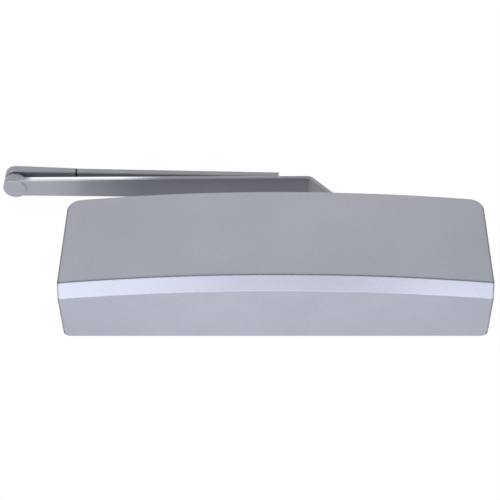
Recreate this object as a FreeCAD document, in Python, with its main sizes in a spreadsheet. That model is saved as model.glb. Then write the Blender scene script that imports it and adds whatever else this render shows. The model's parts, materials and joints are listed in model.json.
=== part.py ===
import FreeCAD, Part
import Sketcher
import math
import os
import re

# A surface door closer for the head of a door, in millimetres.
# The origin is the centre of the four screw holes, on the door's face.
# X runs along the door, Y goes into the door and Z points up along the spindle.

os.makedirs("parts", exist_ok=True)
doc = FreeCAD.newDocument("door_closer")
sheet = doc.addObject("Spreadsheet::Sheet", "Sizes")

# Driving dimensions
sizes = {
    # Cover
    "cover_height": 93.7,
    "cover_depth": 65.0,
    "cover_bow": 9.6,
    "cover_wall": 2.4,
    "bevel_depth": 10.8,
    "bevel_height": 6.8,
    "top_corner_round": 10.5,
    "rear_corner_round": 5.0,
    "cover_edge_round": 0.7,
    "spindle_slot_radius": 14.0,
    "cover_screw_radius": 2.0,
    "cover_screw_head": 3.7,
    "cover_screw_length": 7.0,
    "cover_screw_depth": 16.0,
    # Cast body
    "bore_radius": 19.0,
    "body_wall": 6.0,
    "spring_room": 147.2,
    "saddle_height": 44.0,
    "foot_margin": 11.0,
    "foot_room": 5.55,
    "foot_thickness": 8.0,
    "foot_corner": 6.0,
    "back_relief": 1.2,
    "back_relief_length": 236.0,
    "back_relief_height": 30.0,
    "spindle_x": 65.0,
    "spindle_depth": 30.0,
    "tower_half_height": 37.0,
    "tower_wall": 4.5,
    "cover_tab_thickness": 3.6,
    "cover_tab_height": 12.0,
    "cover_tab_depth": 23.0,
    "door_hole_radius": 3.5,
    "door_hole_spacing": 292.1,
    "door_hole_rise": 19.0,
    # Spindle, bearings and caps
    "tooth_module": 1.6,
    "tooth_count": 12.0,
    "pressure_angle": 25.0,
    "tooth_backlash": 0.12,
    "teeth_height": 36.0,
    "spindle_radius": 9.0,
    "bearing_radius": 12.0,
    "bearing_height": 9.5,
    "bearing_lip": 1.2,
    "seal_height": 4.0,
    "cap_thread_radius": 14.0,
    "cap_thread_height": 6.0,
    "cap_flange_radius": 17.0,
    "cap_flange_height": 3.0,
    "cap_notch_width": 4.0,
    "cap_notch_depth": 2.0,
    "spindle_square": 12.7,
    # Piston, plugs and spring
    "spindle_travel": 180.0,
    "slot_play": 1.5,
    "piston_head": 14.0,
    "piston_gap": 1.0,
    "plug_radius": 20.6,
    "plug_length": 15.0,
    "plug_key": 12.0,
    "plug_key_depth": 4.5,
    "plug_seal_inset": 3.0,
    "spanner_hole_radius": 2.0,
    "spanner_hole_place": 13.0,
    "spanner_hole_depth": 5.0,
    "plug_seal_width": 2.4,
    "plug_seal_depth": 1.8,
    "spring_wire": 5.6,
    "spring_turns": 12.0,
    "spring_play": 0.9,
    "seat_thickness": 6.0,
    "seat_back_off": 5.0,
    "adjuster_radius": 5.0,
    "adjuster_collar": 8.0,
    "adjuster_collar_height": 3.0,
    "adjuster_reach": 26.0,
    "adjuster_key": 5.0,
    "adjuster_seal_depth": 1.4,
    "adjuster_seal_width": 1.8,
    "adjuster_seal_inset": 3.0,
    "seat_pilot_height": 5.0,
    "seat_pilot_gap": 0.5,
    "rack_overcut": 0.4,
    "check_seat_length": 3.0,
    "check_ball_radius": 2.2,
    "check_port_radius": 1.3,
    # Valves
    "valve_radius": 3.5,
    "valve_depth": 10.5,
    "valve_rise": 15.8,
    "valve_bore_length": 18.0,
    "valve_key": 3.0,
    "valve_thread_length": 8.0,
    "valve_seal_width": 1.5,
    "valve_seal_depth": 1.1,
    "gallery_radius": 1.5,
    "gallery_length": 44.0,
    # Main arm
    "arm_length": 280.8,
    "arm_thickness": 4.2,
    "arm_elbow_width": 19.6,
    "arm_bend_width": 25.0,
    "arm_level": 83.95,
    "arm_rise_angle": 47.0,
    "arm_bend_reach": 37.3,
    "arm_bend_round": 2.5,
    "arm_edge_round": 1.9,
    "arm_turn": 0.45,
    "hub_radius": 14.0,
    "hub_height": 11.0,
    "hub_lift": 2.3,
    "boss_radius": 9.8,
    "boss_drop": 1.2,
    "boss_rise": 2.75,
    "boss_edge_round": 1.0,
    "elbow_floor": 1.2,
    "arm_screw_radius": 4.0,
    "arm_screw_head": 6.5,
    "arm_screw_head_height": 4.2,
    "arm_screw_length": 16.0,
    "arm_washer_radius": 8.0,
    "arm_washer_thickness": 1.6,
    # Elbow and forearm
    "elbow_gap": 3.35,
    "elbow_pin_radius": 5.0,
    "elbow_pin_head": 7.0,
    "elbow_pin_head_height": 1.6,
    "elbow_washer_radius": 7.2,
    "elbow_bush_wall": 1.5,
    "knuckle_radius": 9.8,
    "link_thickness": 7.2,
    "link_reach": 49.5,
    "link_end_width": 16.6,
    "link_pad_height": 0.4,
    "forearm_turn": 1.75,
    "forearm_gap": 1.4,
    "neck_inset": 0.5,
    "forearm_length": 168.0,
    "forearm_width": 16.0,
    "forearm_thickness": 6.0,
    "forearm_wall": 1.2,
    "forearm_edge_round": 1.5,
    "forearm_adjustment": 25.0,
    "tang_length": 46.0,
    "tang_screw_place": 35.0,
    "clamp_screw_radius": 2.5,
    "clamp_screw_head": 4.5,
    "clamp_screw_head_height": 2.0,
    "clamp_washer_radius": 5.0,
    "clamp_washer_thickness": 0.8,
    "end_block_length": 22.0,
    "pivot_radius": 4.1,
    "pivot_inset": 10.0,
    "pivot_bush_wall": 1.0,
    # Clearances
    "running_gap": 0.05,
    "seat_gap": 0.1,
    "seat_fit": 0.02,
    "slide_gap": 0.12,
}

# Sizes that follow from the driving ones
derived = {
    "foot_end": "door_hole_spacing / 2 + foot_margin",
    "cover_length": "2 * (foot_end + foot_room + cover_wall)",
    "cover_bow_radius": "(cover_length ^ 2 / 4 + cover_bow ^ 2) / (2 * cover_bow)",
    "barrel_radius": "bore_radius + body_wall",
    "bearing_offset": "bore_radius + seat_gap",
    "tower_radius": "cap_thread_radius + tower_wall",
    "pitch_radius": "tooth_module * tooth_count / 2",
    "tip_radius": "pitch_radius + tooth_module",
    "root_radius": "pitch_radius - 1.25 * tooth_module",
    "tooth_pitch": "pi * tooth_module",
    "rack_travel": "pitch_radius * spindle_travel * pi / 180",
    "slot_left": "spindle_x - tip_radius - slot_play",
    "slot_right": "spindle_x + tip_radius + slot_play + rack_travel",
    "piston_left": "slot_left - piston_head",
    "piston_right": "slot_right + piston_head",
    "closing_plug_face": "piston_right + piston_gap",
    "body_right": "closing_plug_face + plug_length",
    "seat_right": "piston_left - spring_room",
    "seat_left": "seat_right - seat_thickness",
    "spring_plug_face": "seat_left - seat_back_off - adjuster_collar_height",
    "body_left": "spring_plug_face - plug_length",
    "spring_outer": "bore_radius - spring_play",
    "spring_mean": "spring_outer - spring_wire / 2",
    "adjuster_end": "spring_plug_face + adjuster_collar_height + adjuster_reach",
    "cap_top": "tower_half_height + cap_flange_height",
    "hub_bottom": "cover_height / 2 + hub_lift",
    "hub_top": "hub_bottom + hub_height",
    "arm_top": "arm_level + arm_thickness",
    "boss_bottom": "arm_level - boss_drop",
    "boss_top": "arm_top + boss_rise",
    "link_bottom": "boss_top + elbow_gap",
    "link_top": "link_bottom + link_thickness",
    "tube_bottom": "link_top - forearm_thickness",
    "tube_start": "link_reach + forearm_gap",
    "tube_end": "tube_start + forearm_length",
    "tang_width": "forearm_width - 2 * forearm_wall - 2 * slide_gap",
    "tang_thickness": "forearm_thickness - 2 * forearm_wall - 2 * slide_gap",
    "tang_bottom": "tube_bottom + forearm_wall + slide_gap",
    "clamp_x": "tube_start + tang_screw_place",
    "elbow_x": "spindle_x - arm_length * cos(arm_turn)",
    "elbow_y": "-spindle_depth - arm_length * sin(arm_turn)",
    "tab_face": "cover_length / 2 - cover_wall - seat_gap",
}

for row, (alias, value) in enumerate(sizes.items(), start=1):
    sheet.set(f"A{row}", alias)
    sheet.set(f"B{row}", str(value))
    sheet.setAlias(f"B{row}", alias)
doc.recompute()

words = re.compile(r"[a-z]+_[a-z_]+")
pieces = {}


def bound(text):
    """The formula with each size as a cell of the sheet."""
    def cell(match):
        word = match.group(0)
        if word in sizes:
            return "Sizes." + word
        return "(" + bound(derived[word]) + ")"
    return words.sub(cell, text)


def number(text):
    """The formula's value now."""
    value = sheet.evalExpression(bound(text))
    return float(getattr(value, "Value", value))


def bind(thing, prop, text):
    thing.setExpression(prop, bound(text))


def piece(name, thing):
    thing.Label = name
    pieces[name] = thing
    return thing


def body(name):
    return doc.addObject("PartDesign::Body", name + "_body")


def sketch(owner, plane, offset="0"):
    made = owner.newObject("Sketcher::SketchObject", "outline")
    planes = {feature.Role: feature for feature in owner.Origin.OriginFeatures}
    made.AttachmentSupport = [(planes[plane], "")]
    made.MapMode = "FlatFace"
    if offset != "0":
        bind(made, "AttachmentOffset.Base.z", offset)
    return made


def fix_point(made, geometry, place, x, y):
    """Hold a point of the sketch at two formulas from the origin."""
    for kind, text in (("DistanceX", x), ("DistanceY", y)):
        index = made.addConstraint(Sketcher.Constraint(kind, -1, 1, geometry, place, number(text)))
        bind(made, f"Constraints[{index}]", text)


def circle(made, x, y, radius):
    centre = FreeCAD.Vector(number(x), number(y), 0)
    geometry = made.addGeometry(Part.Circle(centre, FreeCAD.Vector(0, 0, 1), number(radius)))
    fix_point(made, geometry, 3, x, y)
    index = made.addConstraint(Sketcher.Constraint("Radius", geometry, number(radius)))
    bind(made, f"Constraints[{index}]", radius)


def outline(made, points, arcs=None):
    """A closed outline. arcs gives an edge's radius and the side, 1 for left, of its centre."""
    arcs = arcs or {}
    corners = [FreeCAD.Vector(number(x), number(y), 0) for x, y in points]
    ends = []
    for i, start in enumerate(corners):
        finish = corners[(i + 1) % len(corners)]
        if i not in arcs:
            geometry = made.addGeometry(Part.LineSegment(start, finish))
            ends.append((geometry, 1, 2))
            continue
        text, side = arcs[i]
        radius = number(text)
        chord = finish - start
        left = FreeCAD.Vector(-chord.y, chord.x, 0).normalize()
        height = math.sqrt(max(radius ** 2 - (chord.Length / 2) ** 2, 0))
        centre = (start + finish) * 0.5 + left * (side * height)
        first, last = (start, finish) if side > 0 else (finish, start)
        turn = Part.ArcOfCircle(
            Part.Circle(centre, FreeCAD.Vector(0, 0, 1), radius),
            math.atan2(first.y - centre.y, first.x - centre.x),
            math.atan2(last.y - centre.y, last.x - centre.x))
        geometry = made.addGeometry(turn)
        ends.append((geometry, 1, 2) if side > 0 else (geometry, 2, 1))
    for i, (geometry, start, finish) in enumerate(ends):
        after = ends[(i + 1) % len(ends)]
        made.addConstraint(Sketcher.Constraint("Coincident", geometry, finish, after[0], after[1]))
        fix_point(made, geometry, start, *points[i])
        if i in arcs:
            index = made.addConstraint(Sketcher.Constraint("Radius", geometry, number(arcs[i][0])))
            bind(made, f"Constraints[{index}]", arcs[i][0])


def turning_axis(made, start, finish):
    """A construction line between two points given as formulas."""
    ends = [FreeCAD.Vector(number(x), number(y), 0) for x, y in (start, finish)]
    line = made.addGeometry(Part.LineSegment(*ends), True)
    fix_point(made, line, 1, *start)
    fix_point(made, line, 2, *finish)


def rectangle(made, left, bottom, right, top):
    outline(made, [(left, bottom), (right, bottom), (right, top), (left, top)])


def round_rectangle(made, half_width, half_height, corner):
    """A rectangle about the origin with round corners."""
    x, y = f"({half_width})", f"({half_height})"
    points = [(f"-{x}", f"-{y} + {corner}"), (f"-{x} + {corner}", f"-{y}"),
              (f"{x} - {corner}", f"-{y}"), (x, f"-{y} + {corner}"),
              (x, f"{y} - {corner}"), (f"{x} - {corner}", y),
              (f"-{x} + {corner}", y), (f"-{x}", f"{y} - {corner}")]
    outline(made, points, {0: (corner, 1), 2: (corner, 1), 4: (corner, 1), 6: (corner, 1)})


def block(owner, made, length, middle=False, back=False, kind="PartDesign::Pad"):
    """Pad or pocket a sketch by a length, one way or about its plane."""
    feature = owner.newObject(kind, kind[12:])
    feature.Profile = made
    if length == "through":
        feature.Type = "ThroughAll"
    else:
        bind(feature, "Length", length)
    feature.SideType = "Symmetric" if middle else "One side"
    feature.Reversed = back
    return feature


def cut(owner, made, length="through", middle=False, back=False):
    return block(owner, made, length, middle, back, "PartDesign::Pocket")


def turned(owner, made, axis="V_Axis", kind="PartDesign::Revolution"):
    feature = owner.newObject(kind, kind[12:])
    feature.Profile = made
    feature.ReferenceAxis = (made, [axis])
    feature.Angle = 360
    return feature


def place(thing, x="0", y="0", z="0", turn="0"):
    for axis, text in (("x", x), ("y", y), ("z", z)):
        bind(thing, "Placement.Base." + axis, text)
    if turn != "0":
        bind(thing, "Placement.Rotation.Angle", turn)


def edges(feature, test):
    """Names of the feature's edges whose middle point and direction pass the test."""
    doc.recompute()
    found = []
    for i, edge in enumerate(feature.Shape.Edges, start=1):
        middle = edge.valueAt((edge.FirstParameter + edge.LastParameter) / 2)
        start, finish = edge.Vertexes[0].Point, edge.Vertexes[-1].Point
        if test(middle, finish - start):
            found.append(f"Edge{i}")
    return found


def rounded(owner, feature, names, radius):
    made = owner.newObject("PartDesign::Fillet", "Fillet")
    made.Base = (feature, names)
    bind(made, "Radius", radius)
    return made


def near(a, b, slack=0.01):
    return abs(a - b) < slack


def turned_piece(name, plane, axis, points, x="0", y="0", z="0"):
    """A piece turned on a lathe from half its section."""
    owner = body(name)
    made = sketch(owner, plane)
    outline(made, points)
    turned(owner, made, axis)
    place(owner, x, y, z)
    return piece(name, owner)


def hex_socket(owner, plane, across, depth, offset="0", back=False):
    """A six-sided key socket cut into a face that is square to the turned axis."""
    made = sketch(owner, plane, offset)
    reach = f"({across}) / 2 / cos(30)"
    corners = [(f"{reach} * cos({60 * i})", f"{reach} * sin({60 * i})") for i in range(6)]
    outline(made, corners)
    return cut(owner, made, depth, back=back)


# Cover: a moulded shell, bowed in front, with a bevel along its lower front edge
def cover_form(name, inset):
    """The cover's outside, or its inside where inset is the wall."""
    owner = body(name)
    side = f"(cover_length / 2 - {inset})"
    radius = f"(cover_bow_radius - {inset})"
    centre = "(cover_bow_radius - cover_depth)"
    end_depth = f"({centre} - sqrt({radius} ^ 2 - {side} ^ 2))"
    rear = "0" if inset == "0" else inset
    made = sketch(owner, "XY_Plane")
    outline(made, [("-" + side, rear), ("-" + side, end_depth), (side, end_depth), (side, rear)],
            {1: (radius, 1)})
    block(owner, made, f"cover_height - 2 * {inset}", middle=True)
    # The bevel is turned about the axis of the bow, so its section stays the same
    made = sketch(owner, "YZ_Plane")
    slant = "sqrt(bevel_depth ^ 2 + bevel_height ^ 2)"
    spare = "cover_wall"
    low, front = f"-cover_height / 2 - {spare}", f"-cover_depth - {spare}"
    run = f"bevel_depth + ({inset} * {slant} + {spare} * bevel_depth) / bevel_height"
    rise = f"({inset} * {slant} + (bevel_depth + {spare}) * bevel_height) / bevel_depth"
    outline(made, [(front, low), (f"-cover_depth + {run}", low), (front, f"-cover_height / 2 + {rise}")])
    turning_axis(made, (centre, "0"), (centre, "cover_height"))
    bevel = turned(owner, made, "Axis0", "PartDesign::Groove")
    bevel.Angle = 40
    bevel.Midplane = True
    doc.recompute()
    return owner, bevel


def make_cover():
    owner, bevel = cover_form("cover", "0")
    half_length = number("cover_length") / 2
    half_height = number("cover_height") / 2
    crown_foot = half_height - number("top_corner_round")
    top_ends = edges(bevel, lambda p, d: near(abs(p.x), half_length) and near(p.z, half_height))
    crown = rounded(owner, bevel, top_ends, "top_corner_round")

    def sharp_edge(p, d):
        on_end = near(abs(p.x), half_length) and p.z < crown_foot
        crease = abs(d.x) > half_length
        crown_arc = p.z > crown_foot and p.y < -number("cover_depth") / 2 and not near(d.z, 0)
        return p.y < -0.01 and (on_end or crease or crown_arc)
    rounded(owner, crown, edges(crown, sharp_edge), "cover_edge_round")
    # Rear upright corners
    made = sketch(owner, "XY_Plane")
    for side in ("-", ""):
        outer = side + "cover_length / 2"
        inner = f"{side}(cover_length / 2 - rear_corner_round)"
        past = side + "(cover_length / 2 + cover_wall)"
        outline(made, [(inner, "0"), (outer, "-rear_corner_round"), (past, "-rear_corner_round"),
                       (past, "cover_wall"), (inner, "cover_wall")],
                {0: ("rear_corner_round", -1 if side == "" else 1)})
    cut(owner, made, "cover_height * 2", middle=True)
    # Slot in the top that lets the cover pass the spindle
    made = sketch(owner, "XY_Plane")
    left, right = "spindle_x - spindle_slot_radius", "spindle_x + spindle_slot_radius"
    outline(made, [(left, "-spindle_depth"), ("spindle_x", "-spindle_depth - spindle_slot_radius"),
                   (right, "-spindle_depth"), (right, "cover_wall"), (left, "cover_wall")],
            {0: ("spindle_slot_radius", 1), 1: ("spindle_slot_radius", 1)})
    cut(owner, made, "cover_height", back=True)
    # Countersunk holes in the two ends
    for side, back in (("", False), ("-", True)):
        made = sketch(owner, "YZ_Plane")
        circle(made, "-cover_screw_depth", "0", "cover_screw_radius + seat_gap")
        cut(owner, made, "cover_length", back=not back)
        made = sketch(owner, "XY_Plane")
        face = side + "(cover_length / 2)"
        inside = side + "(cover_length / 2 - cover_screw_head + cover_screw_radius)"
        middle = "-cover_screw_depth"
        outline(made, [(face, middle), (face, middle + " - cover_screw_head - seat_gap"),
                       (inside, middle + " - cover_screw_radius - seat_gap"), (inside, middle)])
        turning_axis(made, (face, middle), (inside, middle))
        turned(owner, made, "Axis0", "PartDesign::Groove")
    shell = doc.addObject("Part::Cut", "cover_shell")
    shell.Base = owner
    inside, hollow = cover_form("cover_inside", "cover_wall")
    wall = number("cover_wall")
    inner_ends = edges(hollow, lambda p, d: near(abs(p.x), half_length - wall) and near(p.z, half_height - wall))
    rounded(inside, hollow, inner_ends, "top_corner_round - cover_wall")
    shell.Tool = inside
    piece("cover", shell)


# Cover screws: countersunk, one in each end
def make_cover_screws():
    owner = body("cover_screw")
    made = sketch(owner, "XY_Plane")
    rise = "cover_screw_head - cover_screw_radius"
    outline(made, [("0", "0"), ("0", "cover_screw_head"), (f"-({rise})", "cover_screw_radius"),
                   ("-cover_screw_length", "cover_screw_radius"), ("-cover_screw_length", "0")])
    turned(owner, made, "H_Axis")
    hex_socket(owner, "YZ_Plane", "cover_screw_radius", "cover_screw_radius / 2")
    place(owner, "cover_length / 2", "-cover_screw_depth")
    piece("cover_screws", pair_across(owner, "cover_screw"))


def pair_across(source, name, normal=(1, 0, 0)):
    """The piece and its twin on the other side, as two separate solids."""
    twin = doc.addObject("Part::Mirroring", name + "_twin")
    twin.Source = source
    twin.Normal = FreeCAD.Vector(*normal)
    both = doc.addObject("Part::Compound", name + "_pair")
    both.Links = [source, twin]
    return both


# Cast body: a barrel along the door on a flat saddle, with a tower for the spindle
def make_closer_body():
    owner = body("closer_body")
    made = sketch(owner, "YZ_Plane", "body_left")
    shoulder = "-spindle_depth + sqrt(barrel_radius ^ 2 - (saddle_height / 2) ^ 2)"
    outline(made, [("0", "-saddle_height / 2"), ("0", "saddle_height / 2"),
                   (shoulder, "saddle_height / 2"), ("-spindle_depth - barrel_radius", "0"),
                   (shoulder, "-saddle_height / 2")],
            {2: ("barrel_radius", 1), 3: ("barrel_radius", 1)})
    block(owner, made, "body_right - body_left")
    # Feet with the door screw holes
    made = sketch(owner, "XZ_Plane")
    round_rectangle(made, "foot_end", "saddle_height / 2", "foot_corner")
    block(owner, made, "foot_thickness")
    # Spindle tower through the barrel
    made = sketch(owner, "XY_Plane")
    circle(made, "spindle_x", "-spindle_depth", "tower_radius")
    block(owner, made, "tower_half_height * 2", middle=True)
    # Tabs that take the cover screws
    for side in ("", "-"):
        made = sketch(owner, "XZ_Plane")
        inner = side + "(tab_face - cover_tab_thickness)"
        outer = side + "tab_face"
        left, right = (inner, outer) if side == "" else (outer, inner)
        rectangle(made, left, "-cover_tab_height / 2", right, "cover_tab_height / 2")
        block(owner, made, "cover_tab_depth")
        made = sketch(owner, "XZ_Plane")
        near_foot = side + "(foot_end - foot_thickness)"
        left, right = (near_foot, outer) if side == "" else (outer, near_foot)
        rectangle(made, left, "-cover_tab_height / 2", right, "cover_tab_height / 2")
        block(owner, made, "foot_thickness / 2")
    # Main bore, with a wider thread for the plug at each end
    made = sketch(owner, "YZ_Plane")
    circle(made, "-spindle_depth", "0", "bore_radius")
    cut(owner, made, "foot_end * 4", middle=True)
    for end in ("body_left", "body_right"):
        made = sketch(owner, "YZ_Plane", end)
        circle(made, "-spindle_depth", "0", "plug_radius")
        cut(owner, made, "plug_length", back=end == "body_left")
    # Spindle bore and the two cap threads
    made = sketch(owner, "XY_Plane")
    circle(made, "spindle_x", "-spindle_depth", "bearing_radius")
    cut(owner, made, "tower_half_height * 3", middle=True)
    for level, back in (("tower_half_height", False), ("-tower_half_height", True)):
        made = sketch(owner, "XY_Plane", level)
        circle(made, "spindle_x", "-spindle_depth", "cap_thread_radius")
        cut(owner, made, "cap_thread_height + seat_gap", back=back)
    # Door screw holes
    made = sketch(owner, "XZ_Plane")
    for x in ("-door_hole_spacing / 2", "door_hole_spacing / 2"):
        for z in ("-door_hole_rise / 2", "door_hole_rise / 2"):
            circle(made, x, z, "door_hole_radius")
    cut(owner, made, "foot_thickness * 2", back=True)
    # Relief between the feet, so that only the ends bear on the door
    made = sketch(owner, "XZ_Plane")
    rectangle(made, "-back_relief_length / 2", "-back_relief_height / 2",
              "back_relief_length / 2", "back_relief_height / 2")
    cut(owner, made, "back_relief", back=True)
    # Valve bores and their oil galleries
    for end, rise in (("body_right", ""), ("body_right", "-"), ("body_left", "")):
        for radius, length in (("valve_radius", "valve_bore_length"), ("gallery_radius", "gallery_length")):
            made = sketch(owner, "YZ_Plane", end)
            circle(made, "-valve_depth", rise + "valve_rise", radius)
            cut(owner, made, length, back=end == "body_left")
    # Screw holes of the cover tabs
    made = sketch(owner, "YZ_Plane")
    circle(made, "-cover_screw_depth", "0", "cover_screw_radius + seat_gap")
    for back in (False, True):
        cut(owner, made, "cover_length / 2", back=back)
    piece("closer_body", owner)


# End plugs: the closing end is turned by a key, the spring end by a pin spanner
def make_plugs():
    wide = "plug_radius - running_gap"
    neck = "plug_radius - running_gap - plug_seal_depth"
    outer = "body_right"
    owner = body("closing_plug")
    made = sketch(owner, "XY_Plane")
    groove = "closing_plug_face + plug_seal_inset"
    outline(made, [("closing_plug_face", "0"), ("closing_plug_face", wide), (groove, wide),
                   (groove, neck), (f"{groove} + plug_seal_width", neck),
                   (f"{groove} + plug_seal_width", wide), (outer, wide), (outer, "0")])
    turned(owner, made, "H_Axis")
    hex_socket(owner, "YZ_Plane", "plug_key", "plug_key_depth", outer)
    place(owner, "0", "-spindle_depth")
    piece("closing_plug", owner)

    owner = body("spring_plug")
    made = sketch(owner, "XY_Plane")
    hole = "adjuster_radius + running_gap"
    groove = "spring_plug_face - plug_seal_inset"
    inner_groove = "spring_plug_face - adjuster_seal_inset"
    deep = "adjuster_radius + running_gap + adjuster_seal_depth"
    outline(made, [("spring_plug_face", hole), ("spring_plug_face", wide), (groove, wide), (groove, neck),
                   (f"{groove} - plug_seal_width", neck), (f"{groove} - plug_seal_width", wide),
                   ("body_left", wide), ("body_left", hole),
                   (f"{inner_groove} - adjuster_seal_width", hole),
                   (f"{inner_groove} - adjuster_seal_width", deep), (inner_groove, deep),
                   (inner_groove, hole)])
    turned(owner, made, "H_Axis")
    made = sketch(owner, "YZ_Plane", "body_left")
    for side in ("", "-"):
        circle(made, "0", side + "spanner_hole_place", "spanner_hole_radius")
    cut(owner, made, "spanner_hole_depth", back=True)
    place(owner, "0", "-spindle_depth")
    piece("spring_plug", owner)


def seal_ring(name, start, groove, inner, outer, y, z="0"):
    """A square-cut seal in a groove, with a fit at its sides; start is its right side."""
    low, high = f"{inner} + seat_fit", f"{outer} - seat_fit"
    finish = f"{start} - ({groove}) + 2 * seat_gap"
    return turned_piece(name, "XY_Plane", "H_Axis", [
        (start, low), (start, high), (finish, high), (finish, low)], "0", y, z)


def make_plug_seals():
    neck = "plug_radius - running_gap - plug_seal_depth"
    closing = seal_ring("closing_seal", "closing_plug_face + plug_seal_inset + plug_seal_width - seat_gap",
                        "plug_seal_width", neck, "plug_radius", "-spindle_depth")
    spring = seal_ring("spring_seal", "spring_plug_face - plug_seal_inset - seat_gap",
                       "plug_seal_width", neck, "plug_radius", "-spindle_depth")
    both = doc.addObject("Part::Compound", "plug_seal_pair")
    both.Links = [closing, spring]
    del pieces["closing_seal"], pieces["spring_seal"]
    piece("plug_seals", both)
    seal_ring("adjuster_seal", "spring_plug_face - adjuster_seal_inset - seat_gap", "adjuster_seal_width",
              "adjuster_radius", "adjuster_radius + running_gap + adjuster_seal_depth", "-spindle_depth")


# Spring power adjuster: a captive screw that drives the spring seat along the bore
def make_adjuster():
    collar_left = "spring_plug_face + running_gap"
    collar_right = "spring_plug_face + adjuster_collar_height"
    adjuster = turned_piece("spring_adjuster", "XY_Plane", "H_Axis", [
        ("body_left", "0"), ("body_left", "adjuster_radius"), (collar_left, "adjuster_radius"),
        (collar_left, "adjuster_collar"), (collar_right, "adjuster_collar"),
        (collar_right, "adjuster_radius"), ("adjuster_end", "adjuster_radius"), ("adjuster_end", "0")],
        "0", "-spindle_depth")
    hex_socket(adjuster, "YZ_Plane", "adjuster_key", "adjuster_radius", "body_left", back=True)
    hole = "adjuster_radius + running_gap"
    edge = "bore_radius - 2 * seat_gap"
    pilot = "spring_outer - spring_wire - seat_pilot_gap"
    turned_piece("spring_seat", "XY_Plane", "H_Axis", [
        ("seat_left", hole), ("seat_left", edge), ("seat_right", edge), ("seat_right", pilot),
        ("seat_right + seat_pilot_height", f"{pilot} - seat_pilot_gap"),
        ("seat_right + seat_pilot_height", hole)], "0", "-spindle_depth")


# Closing spring: one wire wound on arcs of under half a turn that meet in line
def make_spring():
    wire = number("spring_wire") / 2
    mean = number("spring_mean")
    start = number("seat_right") + wire + number("seat_gap")
    finish = number("piston_left") - wire - number("seat_gap")
    turns = number("spring_turns")
    rise = (finish - start) / (2 * math.pi * turns)

    def on_helix(angle):
        point = FreeCAD.Vector(start + rise * angle, mean * math.cos(angle), mean * math.sin(angle))
        way = FreeCAD.Vector(rise, -mean * math.sin(angle), mean * math.cos(angle)).normalize()
        return point, way

    def tangent_arc(first, corner, last):
        chord_middle = (first + last) * 0.5
        leg = (corner - first).Length
        half_chord = (last - first).Length / 2
        half_turn = math.acos(min(1.0, half_chord / leg))
        radius = half_chord / math.sin(half_turn)
        outward = (corner - chord_middle).normalize()
        return Part.Arc(first, chord_middle + outward * radius * (1 - math.cos(half_turn)), last).toShape()

    steps = int(round(turns * 4))
    arcs = []
    for i in range(steps):
        first, leaving = on_helix(2 * math.pi * turns * i / steps)
        last, arriving = on_helix(2 * math.pi * turns * (i + 1) / steps)
        gap = last - first
        both = leaving + arriving
        a = both.dot(both) - 4
        b = -2 * gap.dot(both)
        c = gap.dot(gap)
        reach = (-b - math.sqrt(b * b - 4 * a * c)) / (2 * a)
        if reach < 0:
            reach = (-b + math.sqrt(b * b - 4 * a * c)) / (2 * a)
        near_corner = first + leaving * reach
        far_corner = last - arriving * reach
        joint = (near_corner + far_corner) * 0.5
        arcs.append(tangent_arc(first, near_corner, joint))
        arcs.append(tangent_arc(joint, far_corner, last))
    path = Part.Wire(arcs)
    point, way = on_helix(0)
    section = Part.Wire(Part.Circle(point, way, wire).toShape())
    coil = path.makePipeShell([section], True, False)
    made = doc.addObject("Part::Feature", "spring_coil")
    made.Shape = coil if coil.Volume > 0 else coil.reversed()
    place(made, "0", "-spindle_depth")
    pitch = (finish - start) / turns
    print(f"spring: {turns:g} turns, gap between turns {pitch - 2 * wire:.2f} mm")
    piece("spring", made)


# Piston: a round bar with a slot for the spindle and a rack along one wall of the slot
def make_piston():
    owner = body("piston")
    made = sketch(owner, "YZ_Plane", "piston_left")
    circle(made, "0", "0", "bore_radius - running_gap")
    block(owner, made, "piston_right - piston_left")
    tip_line = "pitch_radius - tooth_module"
    root_line = "pitch_radius + 1.25 * tooth_module"
    made = sketch(owner, "XY_Plane")
    rectangle(made, "slot_left", "-tip_radius - slot_play / 2", "slot_right", tip_line)
    cut(owner, made, "bore_radius * 3", middle=True)
    # One tooth space, repeated along the rack
    made = sketch(owner, "XY_Plane")
    centre = "spindle_x - 1.5 * tooth_pitch"
    half_space = "(tooth_pitch / 4 + tooth_backlash / 2)"
    mouth = f"({half_space} + tooth_module * tan(pressure_angle))"
    floor = f"({half_space} - 1.25 * tooth_module * tan(pressure_angle))"
    over = "rack_overcut"
    wide = f"({mouth} + {over} * tan(pressure_angle))"
    above = f"{tip_line} - {over}"
    outline(made, [(f"{centre} - {wide}", above), (f"{centre} + {wide}", above),
                   (f"{centre} + {floor}", root_line), (f"{centre} - {floor}", root_line)])
    space = cut(owner, made, "bore_radius * 3", middle=True)
    doc.recompute()
    rack = owner.newObject("PartDesign::LinearPattern", "rack")
    rack.Originals = [space]
    rack.Direction = (made, ["H_Axis"])
    bind(rack, "Occurrences", "round(rack_travel / tooth_pitch) + 4")
    bind(rack, "Length", "(round(rack_travel / tooth_pitch) + 3) * tooth_pitch")
    owner.Tip = rack
    # Check valve passage in the closing head
    made = sketch(owner, "YZ_Plane", "piston_right")
    circle(made, "0", "0", "check_ball_radius + seat_gap")
    cut(owner, made, "check_seat_length + 2 * check_ball_radius + slot_play")
    made = sketch(owner, "YZ_Plane", "piston_right")
    circle(made, "0", "0", "check_port_radius")
    cut(owner, made, "piston_head + slot_play")
    place(owner, "0", "-spindle_depth")
    piece("piston", owner)

    turned_piece("check_valve_seat", "XY_Plane", "H_Axis", [
        ("piston_right - check_seat_length", "check_port_radius"),
        ("piston_right - check_seat_length", "check_ball_radius + seat_gap - running_gap"),
        ("piston_right", "check_ball_radius + seat_gap - running_gap"),
        ("piston_right", "check_port_radius")], "0", "-spindle_depth")
    ball = doc.addObject("Part::Sphere", "check_ball")
    bind(ball, "Radius", "check_ball_radius")
    place(ball, "piston_right - check_seat_length - check_ball_radius - seat_gap", "-spindle_depth")
    piece("check_valve_ball", ball)


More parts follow.
